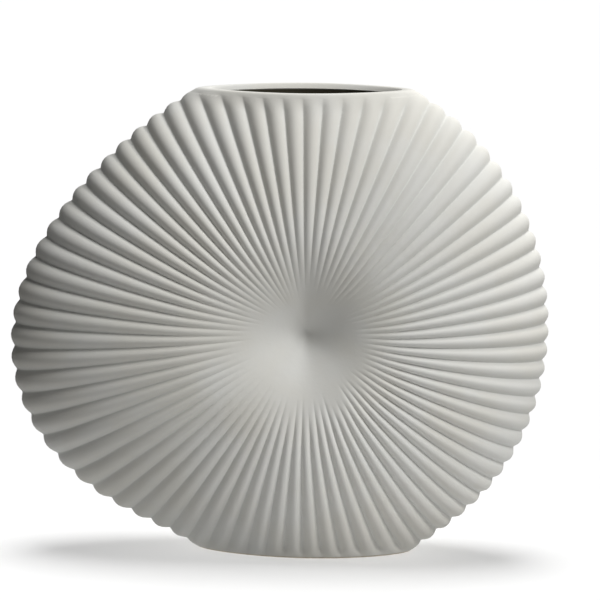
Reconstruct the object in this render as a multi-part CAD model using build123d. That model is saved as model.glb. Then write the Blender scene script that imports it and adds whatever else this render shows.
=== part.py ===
from build123d import *
from math import cos, hypot, pi, radians, sin, tan
import os

# Fan vase: a flat flask of two ribbed halves, luted together down both sides, with a floor set in
# between the walls and a plain lip on top.
# The origin is the middle of the flat base on the table. +Z is up, -Y is the front, +X is the right.

# Heights above the table
hub_height = 130.0
mouth_height = 263.5

# Rim seen from the front: a round outline about the hub that swells to the left, round the foot,
# over the crown and under the base. It is cut level at the mouth and at the table, so its crown and
# its base swell out as far as the cuts and an overrun past them. A narrow swell past the mouth, which
# is cut away whole, opens the mouth from front to back
rim_radius = 124.0
left_swell = 40.5
foot_swell = 14.0
crown_overrun = 14.5
base_overrun = 20.5
mouth_swell = 12.0
left_angle = 194
foot_angle = 289
crown_angle = 100
base_angle = 267
mouth_angle = 91
left_half_angle = 91
foot_half_angle = 144
crown_half_angle = 180
base_half_angle = 51
mouth_half_angle = 32

# Face seen from the side: from the dimple at the hub up to a round ridge, then over to the rim. The
# bottom of the dimple lies a little to the left of the rim's own middle
ridge_half_depth = 34.0
dimple_depth = 18.5
ridge_share = 0.41
dimple_tip_share = 0.04
hub_shift = 1.8
shoulder_power = 1.7
rim_power = 0.6

# Ribs: one shallow reed after another, fading out in the dimple. They swirl a little on their way to
# the rim, and lean and crowd a little round it
rib_count = 77
groove_depth = 2.4
rib_start_share = 0.14
rib_full_share = 0.44
first_groove_angle = 91.1
rib_swirl_angle = 1.2
rib_lean_angle = 0.5
rib_lean_middle_angle = 149
rib_crowd_angle = 0.32
rib_crowd_middle_angle = 120

# Pottery
wall = 6.0
seam_thickness = 1.0
slab_thickness = 7.0
slab_clearance = 0.2
lip_height = 2.5
lip_round = 0.8

# Where the rings of the face lie, as shares of the way from the hub to the rim
face_shares = (0.03, 0.06, 0.09, 0.13, 0.17, 0.21, 0.25, 0.33, 0.41, 0.52, 0.64, 0.77, 0.87, 0.94, 0.98, 1.0)
slope_step_share = 0.0005
smooth_ring_arcs = 24
section_steps = 12
corner_halvings = 40
lip_steps = 4
corner_search_angle = 60
half_turn_angle = 180

seam_half = seam_thickness / 2
shell_top = mouth_height - lip_height


def swell(angle, reach, middle_angle, half_angle):
    """Height of a soft rise of the rim at an angle in degrees."""
    away = abs((angle - middle_angle + half_turn_angle) % (2 * half_turn_angle) - half_turn_angle)
    return reach * cos(pi / 2 * away / half_angle) ** 4 if away < half_angle else 0


crown_swell = mouth_height - hub_height + crown_overrun - rim_radius
foot_swell_at_base = swell(base_angle, foot_swell, foot_angle, foot_half_angle)
base_swell = hub_height + base_overrun - rim_radius - foot_swell_at_base


def rim_reach(angle, inset):
    """Distance from the hub to the rim, less an inset."""
    return (
        rim_radius
        + swell(angle, left_swell, left_angle, left_half_angle)
        + swell(angle, foot_swell, foot_angle, foot_half_angle)
        + swell(angle, crown_swell, crown_angle, crown_half_angle)
        + swell(angle, base_swell, base_angle, base_half_angle)
        + swell(angle, mouth_swell, mouth_angle, mouth_half_angle)
        - inset
    )


def face_depth(share, inset):
    """Half depth of the face, from the edge of the seam, at a share of the way to the rim."""
    if share >= ridge_share:
        over = (share - ridge_share) / (1 - ridge_share)
        return (ridge_half_depth - inset) * max(0, 1 - over**shoulder_power) ** rim_power
    inward = 1 - share / ridge_share
    soft_share = hypot(share, dimple_tip_share * inward)
    return ridge_half_depth - inset - dimple_depth * (1 - soft_share / ridge_share) ** 2


def face_normal(share, angle):
    """Outward direction of the face, as its part away from the hub and its part to the front."""
    if share >= 1 - slope_step_share:
        return 1, 0
    rise = face_depth(share + slope_step_share, 0) - face_depth(share - slope_step_share, 0)
    run = 2 * slope_step_share * rim_reach(angle, 0)
    return -rise / hypot(rise, run), run / hypot(rise, run)


def groove(share):
    """Depth of the groove between two ribs, in proportion to their spacing."""
    fade = min(1, max(0, (share - rib_start_share) / (rib_full_share - rib_start_share)))
    return groove_depth * share * fade * fade * (3 - 2 * fade)


def face_point(share, angle, inset, sink):
    """Point of the front face. The inset makes the whole form smaller, and sink dents it there."""
    outward, forward = face_normal(share, angle)
    reach = share * rim_reach(angle, inset) - sink * outward
    depth = seam_half + face_depth(share, inset) - sink * forward
    turn = radians(angle)
    along = reach * cos(turn) - hub_shift * (1 - share)
    return Vector(along, -depth, hub_height + reach * sin(turn))


def rib_angle(share, number, count):
    """Angle of a groove at a share of the way to the rim, out of a count of grooves all round."""
    angle = first_groove_angle + rib_swirl_angle * (share - 1) + number * 360 / count
    lean = rib_lean_angle * cos(radians(angle - rib_lean_middle_angle))
    crowd = rib_crowd_angle * cos(2 * radians(angle - rib_crowd_middle_angle))
    return angle + lean + crowd


def ring(share, inset, count, sink):
    """Closed ring of arcs round the front face, each bulging out between two grooves."""
    arcs = []
    for number in range(count):
        low = face_point(share, rib_angle(share, number, count), inset, sink)
        crest = face_point(share, rib_angle(share, number + 1 / 2, count), inset, 0)
        high = face_point(share, rib_angle(share, number + 1, count), inset, sink)
        arcs.append(Edge.make_three_point_arc(low, crest, high))
    return Wire(arcs)


def ribbed_half():
    """Solid front half of the outer form, before it is hollowed."""
    return Solid.make_loft([ring(share, 0, rib_count, groove(share)) for share in face_shares])


def cavity_half():
    """Solid front half of the smooth space inside."""
    return Solid.make_loft([ring(share, wall, smooth_ring_arcs, 0) for share in face_shares])


def between_heights(low, high):
    """Slab of space between two heights, larger than the vase all round."""
    span = 2 * (rim_radius + left_swell + foot_swell + mouth_height)
    return Pos(0, 0, (low + high) / 2) * Box(span, span, high - low)


def corner_angle(height, inset, inner, outer):
    """Angle between two others at which a level line meets the rim."""
    for _ in range(corner_halvings):
        middle = (inner + outer) / 2
        if (height - hub_height) / sin(radians(middle)) < rim_reach(middle, inset):
            inner = middle
        else:
            outer = middle
    return inner


def level_outline(height, inset):
    """Closed smooth outline of the form at a height, as a wire."""
    level = 90 if height > hub_height else 270
    start = corner_angle(height, inset, level, level - corner_search_angle)
    end = corner_angle(height, inset, level, level + corner_search_angle)
    front = []
    for step in range(1, section_steps):
        angle = start + (end - start) * (1 - cos(pi * step / section_steps)) / 2
        share = (height - hub_height) / sin(radians(angle)) / rim_reach(angle, inset)
        along = (height - hub_height) / tan(radians(angle)) - hub_shift * (1 - share)
        front.append((along, seam_half + face_depth(share, inset)))
    start_along = (height - hub_height) / tan(radians(start))
    end_along = (height - hub_height) / tan(radians(end))
    points = [Vector(start_along, 0, height)]
    points += [Vector(along, -depth, height) for along, depth in front]
    points += [Vector(end_along, 0, height)]
    points += [Vector(along, depth, height) for along, depth in reversed(front)]
    return Wire([Edge.make_spline(points, periodic=True)])


def make_front_shell():
    """Ribbed front half, hollowed and trimmed level at the foot and under the lip."""
    shell = ribbed_half() - cavity_half()
    return shell & between_heights(0, shell_top)


def make_seams():
    """Slip between the halves down the left and the right rim."""
    outer = Face(ring(1, 0, rib_count, groove_depth))
    inner = Face(ring(1, wall, smooth_ring_arcs, 0))
    band = extrude(outer - inner, amount=seam_thickness, dir=(0, 1, 0))
    pieces = (band & between_heights(0, shell_top)).solids().sort_by(Axis.X)
    return pieces[0], pieces[-1]


def make_base_slab():
    """Floor between the walls, flush with their feet."""
    fit = wall + slab_clearance
    return Solid.make_loft([level_outline(0, fit), level_outline(slab_thickness, fit)])


def make_mouth_lip():
    """Plain band round the mouth, with a small round outside and a full one inside."""
    outside = [level_outline(shell_top, 0)]
    inside = []
    for step in range(lip_steps + 1):
        turn = pi / 2 * step / lip_steps
        outside.append(level_outline(mouth_height - lip_round * (1 - sin(turn)), lip_round * (1 - cos(turn))))
        inside.append(level_outline(mouth_height - lip_height * (1 - sin(turn)), wall * (1 + cos(turn)) / 2))
    return Solid.make_loft(outside, True) - Solid.make_loft(inside, True)


os.makedirs("parts", exist_ok=True)
front_shell = make_front_shell()
slip_seam_left, slip_seam_right = make_seams()
export_step(front_shell, "parts/front_shell.step")
export_step(mirror(front_shell, about=Plane.XZ), "parts/back_shell.step")
export_step(slip_seam_left, "parts/slip_seam_left.step")
export_step(slip_seam_right, "parts/slip_seam_right.step")
export_step(make_base_slab(), "parts/base_slab.step")
export_step(make_mouth_lip(), "parts/mouth_lip.step")
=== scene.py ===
from math import cos, hypot, pi, radians, sin, sqrt

import bmesh
import bpy
from mathutils import Matrix, Vector


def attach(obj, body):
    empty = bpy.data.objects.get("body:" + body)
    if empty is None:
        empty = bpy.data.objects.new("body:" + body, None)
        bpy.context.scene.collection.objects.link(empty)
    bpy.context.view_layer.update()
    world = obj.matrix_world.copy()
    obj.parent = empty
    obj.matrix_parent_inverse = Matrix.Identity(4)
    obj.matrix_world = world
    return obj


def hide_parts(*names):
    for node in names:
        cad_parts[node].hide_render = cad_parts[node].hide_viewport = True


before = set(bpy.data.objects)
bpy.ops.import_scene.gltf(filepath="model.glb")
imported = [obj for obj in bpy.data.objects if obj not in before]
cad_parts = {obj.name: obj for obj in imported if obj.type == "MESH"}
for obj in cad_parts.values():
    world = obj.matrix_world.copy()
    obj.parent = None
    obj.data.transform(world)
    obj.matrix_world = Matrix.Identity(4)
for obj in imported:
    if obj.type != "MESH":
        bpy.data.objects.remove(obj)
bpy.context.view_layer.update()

# Fan vase, in metres. The origin is the middle of the base on the table, +Z is up and -Y is the front.

# Sides, as signs along Y and along X
FRONT = -1
BACK = 1
LEFT = -1
RIGHT = 1

# Angles in degrees, counted round the hub from the right
TOP_ANGLE = 90
HALF_TURN = 180
FULL_TURN = 360

# Heights above the table
HUB_HEIGHT = 0.130
MOUTH_HEIGHT = 0.2635

# Rim about the hub, with its swells to the left, round the foot, at the crown, the base and the mouth
RIM_RADIUS = 0.124
LEFT_SWELL = 0.0405
FOOT_SWELL = 0.014
CROWN_OVERRUN = 0.0145
BASE_OVERRUN = 0.0205
MOUTH_SWELL = 0.012
LEFT_ANGLE = 194
FOOT_ANGLE = 289
CROWN_ANGLE = 100
BASE_ANGLE = 267
MOUTH_ANGLE = 91
LEFT_HALF_ANGLE = 91
FOOT_HALF_ANGLE = 144
CROWN_HALF_ANGLE = 180
BASE_HALF_ANGLE = 51
MOUTH_HALF_ANGLE = 32
SWELL_POWER = 4

# Face from the dimple over the ridge to the rim
RIDGE_HALF_DEPTH = 0.034
DIMPLE_DEPTH = 0.0195
RIDGE_SHARE = 0.41
DIMPLE_TIP_SHARE = 0.015
HUB_SHIFT = 0.0018
SHOULDER_POWER = 1.7
RIM_POWER = 0.6

# Ribs: how they lie round the hub, with their swirl, lean and crowding
RIB_COUNT = 77
FIRST_GROOVE_ANGLE = 91.1
RIB_SWIRL_ANGLE = 1.2
RIB_LEAN_ANGLE = 0.5
RIB_LEAN_MIDDLE_ANGLE = 149
RIB_CROWD_ANGLE = 0.32
RIB_CROWD_MIDDLE_ANGLE = 120

# Grooves between them: how deep they are at the rim and how soft in the valley, and how they run out in
# the dimple, each a little sooner or later, below the mouth and above the table
GROOVE_DEPTH = 0.0022
GROOVE_GROWTH = 0.35
VALLEY_SOFTNESS = 0.2
GROOVE_START_SHARE = 0.19
GROOVE_FULL_SHARE = 0.49
GROOVE_WANDER_SHARE = 0.03
GROOVE_REACH_SHARE = 0.055
GROOVE_TAPER_SHARE = 0.05
GROOVE_REACH_ANGLE = 112
GROOVE_END_BELOW_MOUTH = 0.0006
GROOVE_FULL_BELOW_MOUTH = 0.0095
GROOVE_END_ABOVE_TABLE = 0.0006
GROOVE_FULL_ABOVE_TABLE = 0.007

# Pottery
WALL = 0.006
SEAM_HALF = 0.0005
LIP_HEIGHT = 0.0025
LIP_ROUND = 0.0008
LIP_BEVEL_POWER = 1.2
FOOT_ROUND = 0.0012
SHELL_TOP = MOUTH_HEIGHT - LIP_HEIGHT

# Fineness of the meshes
RIB_COLUMNS = 10
RIB_COLUMN_CROWDING = 0.8
FACE_ROWS = 20
SHOULDER_ROWS = 42
DIMPLE_ROWS = 10
DIMPLE_EDGE_SHARE = 0.12
RIB_EDGE_SHARE = 0.14
WALL_ROWS = 10
LIP_COLUMNS = 360
LIP_LEFT_CORNER_TURN = 0.5
LIP_BAND_STEPS = 3
LIP_ARC_STEPS = 8
FOOT_STEPS = 4
SLOPE_STEP_SHARE = 0.0005
CORNER_HALVINGS = 40
CORNER_SEARCH_ANGLE = 60
SHARP_EDGE_ANGLE = radians(60)
WELD = 1e-7

# Photograph: where the camera stood, how wide it saw at the vase, and where it aimed beside the hub
VIEW_AZIMUTH = radians(4.12)
VIEW_ELEVATION = radians(12.754)
VIEW_DISTANCE = 1.74266
VIEW_WIDTH = 0.33456
AIM_RIGHT = -0.00648
AIM_UP = 0.01418
SENSOR_MM = 36.0


def swell(angle, reach, middle, half):
    """Height of a soft rise of the rim at an angle in degrees."""
    away = abs((angle - middle + HALF_TURN) % FULL_TURN - HALF_TURN)
    return reach * cos(pi / 2 * away / half) ** SWELL_POWER if away < half else 0.0


CROWN_SWELL = MOUTH_HEIGHT - HUB_HEIGHT + CROWN_OVERRUN - RIM_RADIUS
FOOT_SWELL_AT_BASE = swell(BASE_ANGLE, FOOT_SWELL, FOOT_ANGLE, FOOT_HALF_ANGLE)
BASE_SWELL = HUB_HEIGHT + BASE_OVERRUN - RIM_RADIUS - FOOT_SWELL_AT_BASE


def rim_reach(angle, inset=0.0):
    """Distance from the hub to the rim, less an inset."""
    return (
        RIM_RADIUS
        + swell(angle, LEFT_SWELL, LEFT_ANGLE, LEFT_HALF_ANGLE)
        + swell(angle, FOOT_SWELL, FOOT_ANGLE, FOOT_HALF_ANGLE)
        + swell(angle, CROWN_SWELL, CROWN_ANGLE, CROWN_HALF_ANGLE)
        + swell(angle, BASE_SWELL, BASE_ANGLE, BASE_HALF_ANGLE)
        + swell(angle, MOUTH_SWELL, MOUTH_ANGLE, MOUTH_HALF_ANGLE)
        - inset
    )


def face_depth(share, inset=0.0):
    """Half depth of the face at a share of the way from the hub to the rim."""
    if share >= RIDGE_SHARE:
        over = (share - RIDGE_SHARE) / (1 - RIDGE_SHARE)
        return (RIDGE_HALF_DEPTH - inset) * max(0.0, 1 - over**SHOULDER_POWER) ** RIM_POWER
    inward = 1 - share / RIDGE_SHARE
    soft_share = hypot(share, DIMPLE_TIP_SHARE * inward)
    return RIDGE_HALF_DEPTH - inset - DIMPLE_DEPTH * (1 - soft_share / RIDGE_SHARE) ** 2


def face_normal(share, angle):
    """Outward direction of the face: its part away from the hub and its part to the front."""
    if share >= 1 - SLOPE_STEP_SHARE:
        return 1.0, 0.0
    rise = face_depth(share + SLOPE_STEP_SHARE) - face_depth(abs(share - SLOPE_STEP_SHARE))
    run = 2 * SLOPE_STEP_SHARE * rim_reach(angle)
    return -rise / hypot(rise, run), run / hypot(rise, run)


def soft_step(value):
    """Smooth rise from 0 to 1 as the value does."""
    value = min(1.0, max(0.0, value))
    return value * value * (3 - 2 * value)


def rib_valley(turn):
    """How deep in a groove a point lies, from 0 on a crest to 1, for a turn counted in ribs."""
    crest = 1 - (2 * (turn % 1) - 1) ** 2
    soft_crest = hypot(crest, VALLEY_SOFTNESS) - VALLEY_SOFTNESS
    return 1 - soft_crest / (hypot(1, VALLEY_SOFTNESS) - VALLEY_SOFTNESS)


def groove_at(share, turn, height):
    """Depth of the grooves at a place, which run out in the dimple, below the mouth and at the foot.

    Each begins a little sooner or later. Those at the top reach the furthest into the dimple and taper
    the most.
    """
    number = round(turn) % RIB_COUNT
    topness = cos(radians(FIRST_GROOVE_ANGLE + number * FULL_TURN / RIB_COUNT - GROOVE_REACH_ANGLE))
    start = GROOVE_START_SHARE + GROOVE_WANDER_SHARE * sin(number * number) - GROOVE_REACH_SHARE * topness
    full = GROOVE_FULL_SHARE + GROOVE_TAPER_SHARE * topness
    from_hub = soft_step((share - start) / (full - start))
    below_mouth = MOUTH_HEIGHT - height - GROOVE_END_BELOW_MOUTH
    from_mouth = soft_step(below_mouth / (GROOVE_FULL_BELOW_MOUTH - GROOVE_END_BELOW_MOUTH))
    above_table = height - GROOVE_END_ABOVE_TABLE
    from_table = soft_step(above_table / (GROOVE_FULL_ABOVE_TABLE - GROOVE_END_ABOVE_TABLE))
    return GROOVE_DEPTH * share**GROOVE_GROWTH * from_hub * from_mouth * from_table


def rib_sway(angle):
    """How far in degrees the ribs lean and crowd at an angle."""
    lean = RIB_LEAN_ANGLE * cos(radians(angle - RIB_LEAN_MIDDLE_ANGLE))
    return lean + RIB_CROWD_ANGLE * cos(2 * radians(angle - RIB_CROWD_MIDDLE_ANGLE))


def rib_angle(share, turn):
    """Angle in degrees of a turn counted in ribs, with the ribs' swirl and sway."""
    angle = FIRST_GROOVE_ANGLE + RIB_SWIRL_ANGLE * (share - 1) + turn * FULL_TURN / RIB_COUNT
    return angle + rib_sway(angle)


def rib_turn(share, angle):
    """Turn counted in ribs at an angle, the way back from rib_angle."""
    angle -= rib_sway(angle) + FIRST_GROOVE_ANGLE + RIB_SWIRL_ANGLE * (share - 1)
    return angle * RIB_COUNT / FULL_TURN


def ribbed_point(share, turn, side):
    """Point of the ribbed face on one side, and how deep in a groove it lies.

    The turn counts ribs from the first groove, and its columns crowd towards the grooves.
    """
    turn -= RIB_COLUMN_CROWDING * sin(2 * pi * turn) / (2 * pi)
    angle = rib_angle(share, turn)
    along = cos(radians(angle))
    rise = sin(radians(angle))
    reach = share * rim_reach(angle)
    sink = groove_at(share, turn, HUB_HEIGHT + reach * rise) * rib_valley(turn)
    outward, forward = face_normal(share, angle)
    reach -= sink * outward
    depth = SEAM_HALF + face_depth(share) - sink * forward
    place = Vector((reach * along - HUB_SHIFT * (1 - share), side * depth, HUB_HEIGHT + reach * rise))
    return place, sink / GROOVE_DEPTH


def wall_point(share, turn, side):
    """Point of the smooth wall inside, for a turn counted in ribs."""
    angle = rib_angle(share, turn)
    reach = share * rim_reach(angle, WALL)
    along = reach * cos(radians(angle)) - HUB_SHIFT * (1 - share)
    depth = SEAM_HALF + face_depth(share, WALL)
    return Vector((along, side * depth, HUB_HEIGHT + reach * sin(radians(angle))))


def hub_distance(point):
    """Distance of a point from the hub, seen from the front."""
    return hypot(point.x, point.z - HUB_HEIGHT)


def even_shares(low, high, rows):
    """Evenly spaced shares from one up to another, without the last."""
    return [low + (high - low) * row / rows for row in range(rows)]


def shoulder_shares(rows):
    """Shares from the ridge to the rim, crowded towards the rim where the face turns over."""
    return [RIDGE_SHARE + (1 - RIDGE_SHARE) * sin(pi / 2 * row / rows) for row in range(rows + 1)]


def lay_grid(bm, columns, rows, place):
    """Sheet of faces whose points a function places by their turn, from 0 to 1, and their row."""
    half = 0.5
    made = bmesh.ops.create_grid(bm, x_segments=columns, y_segments=rows, size=half)
    for vert in made["verts"]:
        place(vert, vert.co.x + half, round((vert.co.y + half) * rows))
    bmesh.ops.remove_doubles(bm, verts=made["verts"], dist=WELD)


def slice_level(bm, height, drop=None):
    """Cuts a mesh level at a height, drops what is above or below, and gives the edges of the cut."""
    cut = bmesh.ops.bisect_plane(
        bm,
        geom=bm.verts[:] + bm.edges[:] + bm.faces[:],
        dist=WELD,
        plane_co=(0, 0, height),
        plane_no=(0, 0, 1),
        clear_outer=drop == "above",
        clear_inner=drop == "below",
    )
    return [part for part in cut["geom_cut"] if isinstance(part, bmesh.types.BMEdge)]


def close_cut(bm, edges):
    """Fills an open cut with flat faces, which get the piece's first material."""
    filled = bmesh.ops.holes_fill(bm, edges=edges, sides=0)
    for face in bmesh.ops.triangulate(bm, faces=filled["faces"])["faces"]:
        face.material_index = 0


def add_piece(bm, name, node, materials):
    """Turns a bmesh into a piece that stands for a node and rides with the vase."""
    bmesh.ops.recalc_face_normals(bm, faces=bm.faces[:])
    for face in bm.faces:
        face.smooth = True
    for edge in bm.edges:
        edge.smooth = edge.is_manifold and edge.calc_face_angle() < SHARP_EDGE_ANGLE
    mesh = bpy.data.meshes.new(name)
    bm.to_mesh(mesh)
    bm.free()
    for material in materials:
        mesh.materials.append(material)
    piece = bpy.data.objects.new(name, mesh)
    bpy.context.scene.collection.objects.link(piece)
    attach(piece, "root")
    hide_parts(node)
    return piece


def round_foot(bm, outer_layer):
    """Softens the edge where the ribbed face meets the table."""
    for step in range(1, FOOT_STEPS + 1):
        slice_level(bm, FOOT_ROUND * (step / FOOT_STEPS) ** 2)
    bm.normal_update()
    moves = []
    for vert in bm.verts:
        short = FOOT_ROUND - max(0, vert.co.z)
        if short > 0 and vert[outer_layer] > 1 - WELD:
            level_out = Vector((vert.normal.x, vert.normal.y, 0)).normalized()
            moves.append((vert, level_out * (FOOT_ROUND - sqrt(FOOT_ROUND**2 - short**2))))
    for vert, move in moves:
        vert.co -= move


def lay_face(bm, place, shares):
    """Lays a face in two sheets, coarse in the dimple and fine from there on, and joins them."""
    dimple_shares = even_shares(0, DIMPLE_EDGE_SHARE, DIMPLE_ROWS) + [DIMPLE_EDGE_SHARE]
    lay_grid(bm, RIB_COUNT, DIMPLE_ROWS, place(dimple_shares))
    lay_grid(bm, RIB_COUNT * RIB_COLUMNS, len(shares) - 1, place(shares))
    open_edges = [edge for edge in bm.edges if edge.is_boundary]
    near_hub = [edge for edge in open_edges if hub_distance(edge.verts[0].co) < RIM_RADIUS / 2]
    bmesh.ops.bridge_loops(bm, edges=near_hub)


def make_shell(name, node, side, glaze, inside):
    """Ribbed half of the body, hollow behind, and cut level under the lip and at the foot."""
    bm = bmesh.new()
    groove_layer = bm.verts.layers.float.new("groove")
    outer_layer = bm.verts.layers.float.new("outer")
    rib_shares = even_shares(RIB_EDGE_SHARE, RIDGE_SHARE, FACE_ROWS) + shoulder_shares(SHOULDER_ROWS)
    wall_shares = even_shares(RIB_EDGE_SHARE, RIDGE_SHARE, WALL_ROWS) + shoulder_shares(WALL_ROWS)

    def place_outside(shares):
        def place(vert, turn, row):
            vert.co, vert[groove_layer] = ribbed_point(shares[row], turn * RIB_COUNT, side)
            vert[outer_layer] = 1

        return place

    def place_inside(shares):
        def place(vert, turn, row):
            if row < len(wall_shares):
                vert.co = wall_point(shares[row], turn * RIB_COUNT, side)
            else:
                place_outside((1,))(vert, turn, 0)

        return place

    lay_face(bm, place_outside, rib_shares)
    lay_face(bm, place_inside, wall_shares + [1])
    bmesh.ops.remove_doubles(bm, verts=bm.verts[:], dist=WELD)
    for face in bm.faces:
        face.material_index = 0 if all(vert[outer_layer] for vert in face.verts) else 1
    bmesh.ops.recalc_face_normals(bm, faces=bm.faces[:])
    close_cut(bm, slice_level(bm, SHELL_TOP, "above"))
    slice_level(bm, 0, "below")
    round_foot(bm, outer_layer)
    close_cut(bm, [edge for edge in bm.edges if edge.is_boundary])
    return add_piece(bm, name, node, [glaze, inside])


def corner_angle(height, inset, inner, outer):
    """Angle between two others at which a level line meets the rim."""
    for _ in range(CORNER_HALVINGS):
        middle = (inner + outer) / 2
        if (height - HUB_HEIGHT) / sin(radians(middle)) < rim_reach(middle, inset):
            inner = middle
        else:
            outer = middle
    return inner


def lip_levels():
    """Heights and insets of the lip's section: up the outside, over the top and down the inside."""
    band = MOUTH_HEIGHT - LIP_ROUND - SHELL_TOP
    outside = [(SHELL_TOP + band * step / LIP_BAND_STEPS, 0.0) for step in range(LIP_BAND_STEPS)]
    inside = []
    for step in range(LIP_ARC_STEPS + 1):
        bend = pi / 2 * step / LIP_ARC_STEPS
        outside.append((MOUTH_HEIGHT - LIP_ROUND * (1 - sin(bend)), LIP_ROUND * (1 - cos(bend))))
        drop = step / LIP_ARC_STEPS
        inside.append((MOUTH_HEIGHT - LIP_HEIGHT * drop**LIP_BEVEL_POWER, WALL * (1 + drop) / 2))
    return outside + inside


def lip_point(turn, height, inset, start, end):
    """Point of the mouth's outline at a height, for a turn from 0 to 1 from its right corner.

    The grooves run on up the outside of the lip, level with the ribbed face below it.
    """
    side = FRONT if turn < LIP_LEFT_CORNER_TURN else BACK
    angle = start + (end - start) * (1 - cos(2 * pi * turn)) / 2
    reach = (height - HUB_HEIGHT) / sin(radians(angle))
    share = min(1, reach / rim_reach(angle, inset))
    depth = SEAM_HALF + face_depth(share, inset)
    along = reach * cos(radians(angle)) - HUB_SHIFT * (1 - share)
    if inset == 0:
        outward, forward = face_normal(share, angle)
        outward *= cos(radians(angle))
        ribs = rib_turn(share, angle)
        sink = groove_at(share, ribs, height) * rib_valley(ribs) / (outward**2 + forward**2)
        along -= sink * outward
        depth -= sink * forward
    past_corner = turn % LIP_LEFT_CORNER_TURN
    at_corner = min(past_corner, LIP_LEFT_CORNER_TURN - past_corner) < WELD
    return Vector((along, 0 if at_corner else side * depth, height))


def make_lip(glaze):
    """Plain band round the mouth, rounded outside and bevelled inside."""
    bm = bmesh.new()
    levels = lip_levels()
    levels.append(levels[0])
    corners = []
    for height, inset in levels:
        start = corner_angle(height, inset, TOP_ANGLE, TOP_ANGLE - CORNER_SEARCH_ANGLE)
        end = corner_angle(height, inset, TOP_ANGLE, TOP_ANGLE + CORNER_SEARCH_ANGLE)
        corners.append((start, end))

    def place(vert, turn, row):
        vert.co = lip_point(turn, *levels[row], *corners[row])

    lay_grid(bm, LIP_COLUMNS, len(levels) - 1, place)
    return add_piece(bm, "mouth_band", "mouth_lip", [glaze])


def make_seam(name, node, side, slip):
    """Fettled line of slip between the halves, down one side of the rim."""
    bm = bmesh.new()
    section = (("rim", FRONT), ("rim", BACK), ("wall", BACK), ("wall", FRONT), ("rim", FRONT))

    def place(vert, turn, row):
        edge, face = section[row]
        ribs = turn * RIB_COUNT
        vert.co = ribbed_point(1, ribs, face)[0] if edge == "rim" else wall_point(1, ribs, face)

    lay_grid(bm, RIB_COUNT * RIB_COLUMNS, len(section) - 1, place)
    close_cut(bm, slice_level(bm, SHELL_TOP, "above"))
    close_cut(bm, slice_level(bm, 0, "below"))
    bmesh.ops.delete(bm, geom=[vert for vert in bm.verts if vert.co.x * side < 0], context="VERTS")
    return add_piece(bm, name, node, [slip])


# Sockets of a blend that take and give colours
BLEND_FACTOR = 0
BLEND_FIRST = 6
BLEND_SECOND = 7
BLEND_RESULT = 2


def new_material(name):
    """Empty material, with its node tree, its shader and the object coordinates."""
    material = bpy.data.materials.new(name)
    material.use_nodes = True
    nodes = material.node_tree.nodes
    shader = nodes["Principled BSDF"]
    place = nodes.new("ShaderNodeTexCoord").outputs["Object"]
    return material, nodes, material.node_tree.links, shader, place


def noise(nodes, links, place, scale, detail, coarseness):
    """Noise over the object coordinates, from 0 to 1."""
    node = nodes.new("ShaderNodeTexNoise")
    node.inputs["Scale"].default_value = scale
    node.inputs["Detail"].default_value = detail
    node.inputs["Roughness"].default_value = coarseness
    links.new(place, node.inputs["Vector"])
    return node.outputs["Fac"]


def remap(nodes, links, value, low, high, to_low, to_high):
    """Value stretched smoothly from one range to another."""
    node = nodes.new("ShaderNodeMapRange")
    node.interpolation_type = "SMOOTHSTEP"
    node.inputs["From Min"].default_value = low
    node.inputs["From Max"].default_value = high
    node.inputs["To Min"].default_value = to_low
    node.inputs["To Max"].default_value = to_high
    links.new(value, node.inputs["Value"])
    return node.outputs["Result"]


def mix_colour(nodes, links, factor, first, second):
    """Blend of two colours, each a colour or another node's output."""
    node = nodes.new("ShaderNodeMix")
    node.data_type = "RGBA"
    links.new(factor, node.inputs[BLEND_FACTOR])
    for number, colour in ((BLEND_FIRST, first), (BLEND_SECOND, second)):
        if isinstance(colour, tuple):
            node.inputs[number].default_value = (*colour, 1)
        else:
            links.new(colour, node.inputs[number])
    return node.outputs[BLEND_RESULT]


def bump(nodes, links, shader, height, depth):
    """Fine relief on a shader, with its depth in metres."""
    node = nodes.new("ShaderNodeBump")
    node.inputs["Distance"].default_value = depth
    links.new(height, node.inputs["Height"])
    links.new(node.outputs["Normal"], shader.inputs["Normal"])


# Colours of the clay and its glaze, and of the painted shade inside, as linear light
GLAZE = (0.760, 0.757, 0.722)
GLAZE_THIN = (0.735, 0.722, 0.668)
# Colour mixed in deep in the grooves, a little darker than the glaze
GLAZE_DEEP_IN_GROOVES = (0.720, 0.722, 0.690)
# Painted shade: the inside wall is coloured dark where the deep slot lies in shadow
PAINTED_SHADE_INSIDE = (0.130, 0.118, 0.078)
PAINTED_SHADE_INSIDE_DARKER = (0.100, 0.089, 0.056)
SLIP = (0.755, 0.750, 0.712)
SLIP_DAMP = (0.725, 0.715, 0.668)
CLAY = (0.600, 0.530, 0.430)
CLAY_DARK = (0.480, 0.405, 0.310)

# Patterns of the finish: repeats per metre, detail and coarseness of each noise, and where it is cut
CLOUDS = (22, 3.0, 0.5)
SPONGE = (160, 3.0, 0.5)
CLAY_CLOUDS = (160, 5.0, 0.65)
PEEL = (160, 6.0, 0.6)
GRAIN = (900, 2.0, 0.5)
CLAY_GRAIN = (900, 4.0, 0.7)
CLOUD_CUT = (0.35, 0.65)
CLAY_CUT = (0.35, 0.7)
GRAIN_CUT = (0.3, 0.7)
GROOVE_TINT_CUT = (0.3, 1)
GROOVE_TINT_SHARE = 0.6
GRAIN_DEPTH = 0.00012

# How rough and how shiny each finish is
GLAZE_ROUGHNESS = (0.62, 0.74)
INSIDE_ROUGHNESS = (0.6, 0.8)
SLIP_ROUGHNESS = (0.64, 0.78)
CLAY_ROUGHNESS = (0.82, 0.95)
GLAZE_SHINE = 0.3
INSIDE_SHINE = 0.5
CLAY_SHINE = 0.2

# How far the white glaze runs down inside the mouth before the painted shade inside begins, and the
# heights between which it ends at the wiped foot
GLAZE_RUN = 0.0008
FOOT_BARE = 0.0006
FOOT_GLAZED = 0.0016


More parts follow.
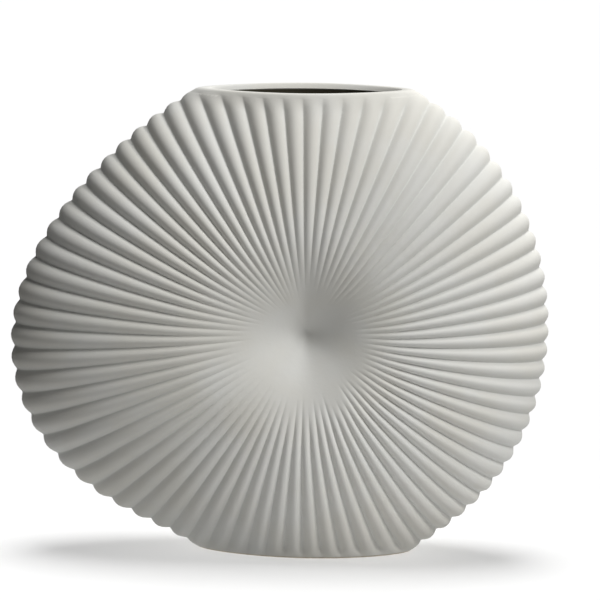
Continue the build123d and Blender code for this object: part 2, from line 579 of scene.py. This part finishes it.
def cloudy(nodes, links, place, pattern, cut, first, second):
    """Two colours in soft clouds."""
    clouds = remap(nodes, links, noise(nodes, links, place, *pattern), *cut, 0, 1)
    return mix_colour(nodes, links, clouds, first, second)


def clay_clouds(nodes, links, place):
    """Cloudy colour of the bare clay."""
    return cloudy(nodes, links, place, CLAY_CLOUDS, CLAY_CUT, CLAY, CLAY_DARK)


def height_share(nodes, links, place, low, high, to_low, to_high):
    """Value that goes from one to another between two heights above the table."""
    height = nodes.new("ShaderNodeSeparateXYZ")
    links.new(place, height.inputs["Vector"])
    return remap(nodes, links, height.outputs["Z"], low, high, to_low, to_high)


def bare_at_foot(nodes, links, place, colour):
    """A colour that gives way to the bare clay where the foot is wiped."""
    bare = height_share(nodes, links, place, FOOT_BARE, FOOT_GLAZED, 1, 0)
    return mix_colour(nodes, links, bare, colour, clay_clouds(nodes, links, place))


def fine_surface(nodes, links, shader, place, roughness, shine):
    """Grainy roughness and a faint peel, as a brush leaves them."""
    grain = noise(nodes, links, place, *GRAIN)
    links.new(remap(nodes, links, grain, *GRAIN_CUT, *roughness), shader.inputs["Roughness"])
    bump(nodes, links, shader, noise(nodes, links, place, *PEEL), GRAIN_DEPTH)
    shader.inputs["Specular IOR Level"].default_value = shine


def stoneware_glaze():
    """Matt off-white glaze: cloudy, a little darker deep in the grooves, wiped at the foot."""
    material, nodes, links, shader, place = new_material("matt_white_glaze")
    colour = cloudy(nodes, links, place, CLOUDS, CLOUD_CUT, GLAZE, GLAZE_THIN)
    groove = nodes.new("ShaderNodeAttribute")
    groove.attribute_name = "groove"
    groove_tint = remap(nodes, links, groove.outputs["Fac"], *GROOVE_TINT_CUT, 0, GROOVE_TINT_SHARE)
    colour = mix_colour(nodes, links, groove_tint, colour, GLAZE_DEEP_IN_GROOVES)
    links.new(bare_at_foot(nodes, links, place, colour), shader.inputs["Base Color"])
    fine_surface(nodes, links, shader, place, GLAZE_ROUGHNESS, GLAZE_SHINE)
    return material


def inside_with_painted_shade():
    """Painted shade on the wall inside, dark where the deep slot lies in shadow, with the white glaze
    brought over the lip and down a little way.
    """
    material, nodes, links, shader, place = new_material("inside_painted_shade")
    painted_shade = cloudy(nodes, links, place, CLOUDS, CLOUD_CUT, PAINTED_SHADE_INSIDE, PAINTED_SHADE_INSIDE_DARKER)
    glazed = height_share(nodes, links, place, SHELL_TOP - GLAZE_RUN, SHELL_TOP, 0, 1)
    links.new(mix_colour(nodes, links, glazed, painted_shade, GLAZE), shader.inputs["Base Color"])
    fine_surface(nodes, links, shader, place, INSIDE_ROUGHNESS, INSIDE_SHINE)
    return material


def fired_slip():
    """Slip in the joints, sponged smooth before the glaze."""
    material, nodes, links, shader, place = new_material("sponged_slip")
    colour = cloudy(nodes, links, place, SPONGE, CLOUD_CUT, SLIP, SLIP_DAMP)
    links.new(bare_at_foot(nodes, links, place, colour), shader.inputs["Base Color"])
    fine_surface(nodes, links, shader, place, SLIP_ROUGHNESS, GLAZE_SHINE)
    return material


def bare_clay():
    """Unglazed floor: warm, grainy and wiped clean."""
    material, nodes, links, shader, place = new_material("bare_clay")
    links.new(clay_clouds(nodes, links, place), shader.inputs["Base Color"])
    grain = noise(nodes, links, place, *CLAY_GRAIN)
    links.new(remap(nodes, links, grain, *GRAIN_CUT, *CLAY_ROUGHNESS), shader.inputs["Roughness"])
    bump(nodes, links, shader, grain, GRAIN_DEPTH)
    shader.inputs["Specular IOR Level"].default_value = CLAY_SHINE
    return material


def dress_vase():
    """Makes every piece of the vase, and gives the floor slab its clay."""
    glaze = stoneware_glaze()
    inside = inside_with_painted_shade()
    slip = fired_slip()
    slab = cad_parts["base_slab"]
    slab.data.materials.clear()
    slab.data.materials.append(bare_clay())
    return [
        make_shell("ribbed_front", "front_shell", FRONT, glaze, inside),
        make_shell("ribbed_back", "back_shell", BACK, glaze, inside),
        make_lip(glaze),
        make_seam("rim_slip_left", "slip_seam_left", LEFT, slip),
        make_seam("rim_slip_right", "slip_seam_right", RIGHT, slip),
        slab,
    ]


# Studio: soft boxes for the vase, two at the front on the right and one behind, and light for the table
# alone. To the eye the table is white all over, and to the vase it is a run of paper, paler on the right
FLOOR_HALF = 8.0
FLOOR_SEEN = (0.95, 0.95, 0.95)
PAPER_LEFT = (0.54, 0.54, 0.54)
PAPER_RIGHT = (0.78, 0.78, 0.78)
TABLE_DARK = (0.02, 0.02, 0.02)
PAPER_HALF = 0.25
PAPER_EDGE = 0.02
AMBIENT = 0.01
LAMP_DISTANCE = 1.8
SOFT_BOXES = (
    # Name, direction in degrees round from the front, height in degrees, size and power
    ("key_box", 60, 42, 0.45, 20.0),
    ("top_box", 45, 74, 0.45, 12.3),
    ("back_box", 150, 40, 0.6, 10),
)
TABLE_WASH = 1.6
TABLE_SHADE = 1.71
TABLE_SHADE_ANGLE = radians(24)
TABLE_SHADE_TILT = radians(7)


def camera_share(nodes, links):
    """1 for rays that show the backdrop itself, seen straight, mirrored or through glass."""
    path = nodes.new("ShaderNodeLightPath")
    seen = path.outputs["Is Camera Ray"]
    for name in ("Is Glossy Ray", "Is Transmission Ray"):
        either = nodes.new("ShaderNodeMath")
        either.operation = "MAXIMUM"
        links.new(seen, either.inputs[0])
        links.new(path.outputs[name], either.inputs[1])
        seen = either.outputs[0]
    return seen


def make_floor():
    """White table that keeps the vase's shadow."""
    bm = bmesh.new()
    bmesh.ops.create_grid(bm, x_segments=1, y_segments=1, size=FLOOR_HALF)
    mesh = bpy.data.meshes.new("table")
    bm.to_mesh(mesh)
    bm.free()
    floor = bpy.data.objects.new("table", mesh)
    bpy.context.scene.collection.objects.link(floor)
    material, nodes, links, shader, place = new_material("white_table")
    across = nodes.new("ShaderNodeSeparateXYZ")
    links.new(place, across.inputs["Vector"])
    along = across.outputs["X"]
    slope = remap(nodes, links, along, -PAPER_HALF, PAPER_HALF, 0, 1)
    past_left = remap(nodes, links, along, -PAPER_HALF - PAPER_EDGE, -PAPER_HALF, 1, 0)
    past_right = remap(nodes, links, along, PAPER_HALF, PAPER_HALF + PAPER_EDGE, 0, 1)
    bounce = mix_colour(nodes, links, slope, PAPER_LEFT, PAPER_RIGHT)
    bounce = mix_colour(nodes, links, past_left, bounce, TABLE_DARK)
    bounce = mix_colour(nodes, links, past_right, bounce, TABLE_DARK)
    colour = mix_colour(nodes, links, camera_share(nodes, links), bounce, FLOOR_SEEN)
    links.new(colour, shader.inputs["Base Color"])
    shader.inputs["Roughness"].default_value = 1.0
    shader.inputs["Specular IOR Level"].default_value = 0.0
    mesh.materials.append(material)
    return floor


def make_backdrop():
    """White all round for the eye, and a dim even light for the vase."""
    world = bpy.data.worlds.new("studio")
    bpy.context.scene.world = world
    world.use_nodes = True
    nodes = world.node_tree.nodes
    links = world.node_tree.links
    light = nodes["Background"]
    light.inputs["Strength"].default_value = AMBIENT
    white = nodes.new("ShaderNodeBackground")
    white.inputs["Color"].default_value = (1, 1, 1, 1)
    light.inputs["Color"].default_value = (1, 1, 1, 1)
    mix = nodes.new("ShaderNodeMixShader")
    links.new(camera_share(nodes, links), mix.inputs["Fac"])
    links.new(light.outputs["Background"], mix.inputs[1])
    links.new(white.outputs["Background"], mix.inputs[2])
    links.new(mix.outputs["Shader"], nodes["World Output"].inputs["Surface"])


def light_only(lamp, things):
    """Lets a lamp light only some things."""
    group = bpy.data.collections.new(lamp.name + "_lights")
    for thing in things:
        group.objects.link(thing)
    lamp.light_linking.receiver_collection = group


def direction(azimuth, elevation):
    """Direction from the vase, turned round from the front and raised above level."""
    level = cos(elevation)
    return Vector((sin(azimuth) * level, -cos(azimuth) * level, sin(elevation)))


def make_soft_box(name, azimuth, elevation, size, power, vase):
    """Square soft box that faces the hub of the vase."""
    light = bpy.data.lights.new(name, "AREA")
    light.shape = "SQUARE"
    light.size = size
    light.energy = power
    lamp = bpy.data.objects.new(name, light)
    out = direction(radians(azimuth), radians(elevation))
    lamp.location = Vector((0, 0, HUB_HEIGHT)) + out * LAMP_DISTANCE
    lamp.rotation_euler = (-out).to_track_quat("-Z", "Y").to_euler()
    bpy.context.scene.collection.objects.link(lamp)
    light_only(lamp, vase)


def make_table_light(name, strength, angle, tilt, shadow, table):
    """Even light on the table from above, and a little from behind where it is tilted."""
    light = bpy.data.lights.new(name, "SUN")
    light.energy = strength
    light.angle = angle
    light.use_shadow = shadow
    lamp = bpy.data.objects.new(name, light)
    lamp.location = (0, 0, LAMP_DISTANCE)
    lamp.rotation_euler = (-tilt, 0, 0)
    bpy.context.scene.collection.objects.link(lamp)
    light_only(lamp, [table])


def make_camera():
    """Camera where the photographer stood."""
    right = Vector((cos(VIEW_AZIMUTH), sin(VIEW_AZIMUTH), 0))
    back = direction(VIEW_AZIMUTH, VIEW_ELEVATION)
    up = back.cross(right)
    hub = Vector((0, 0, HUB_HEIGHT))
    lens = bpy.data.cameras.new("camera")
    lens.sensor_width = SENSOR_MM
    lens.lens = SENSOR_MM * VIEW_DISTANCE / VIEW_WIDTH
    camera = bpy.data.objects.new("camera", lens)
    turn = Matrix((right, up, back)).transposed().to_4x4()
    spot = hub + right * AIM_RIGHT + up * AIM_UP + back * VIEW_DISTANCE
    camera.matrix_world = Matrix.Translation(spot) @ turn
    bpy.context.scene.collection.objects.link(camera)
    bpy.context.scene.camera = camera


vase = dress_vase()
table = make_floor()
make_backdrop()
for box in SOFT_BOXES:
    make_soft_box(*box, vase)
make_table_light("table_wash", TABLE_WASH, 0, 0, False, table)
make_table_light("table_shade", TABLE_SHADE, TABLE_SHADE_ANGLE, TABLE_SHADE_TILT, True, table)
make_camera()
bpy.context.scene.view_settings.view_transform = "Standard"
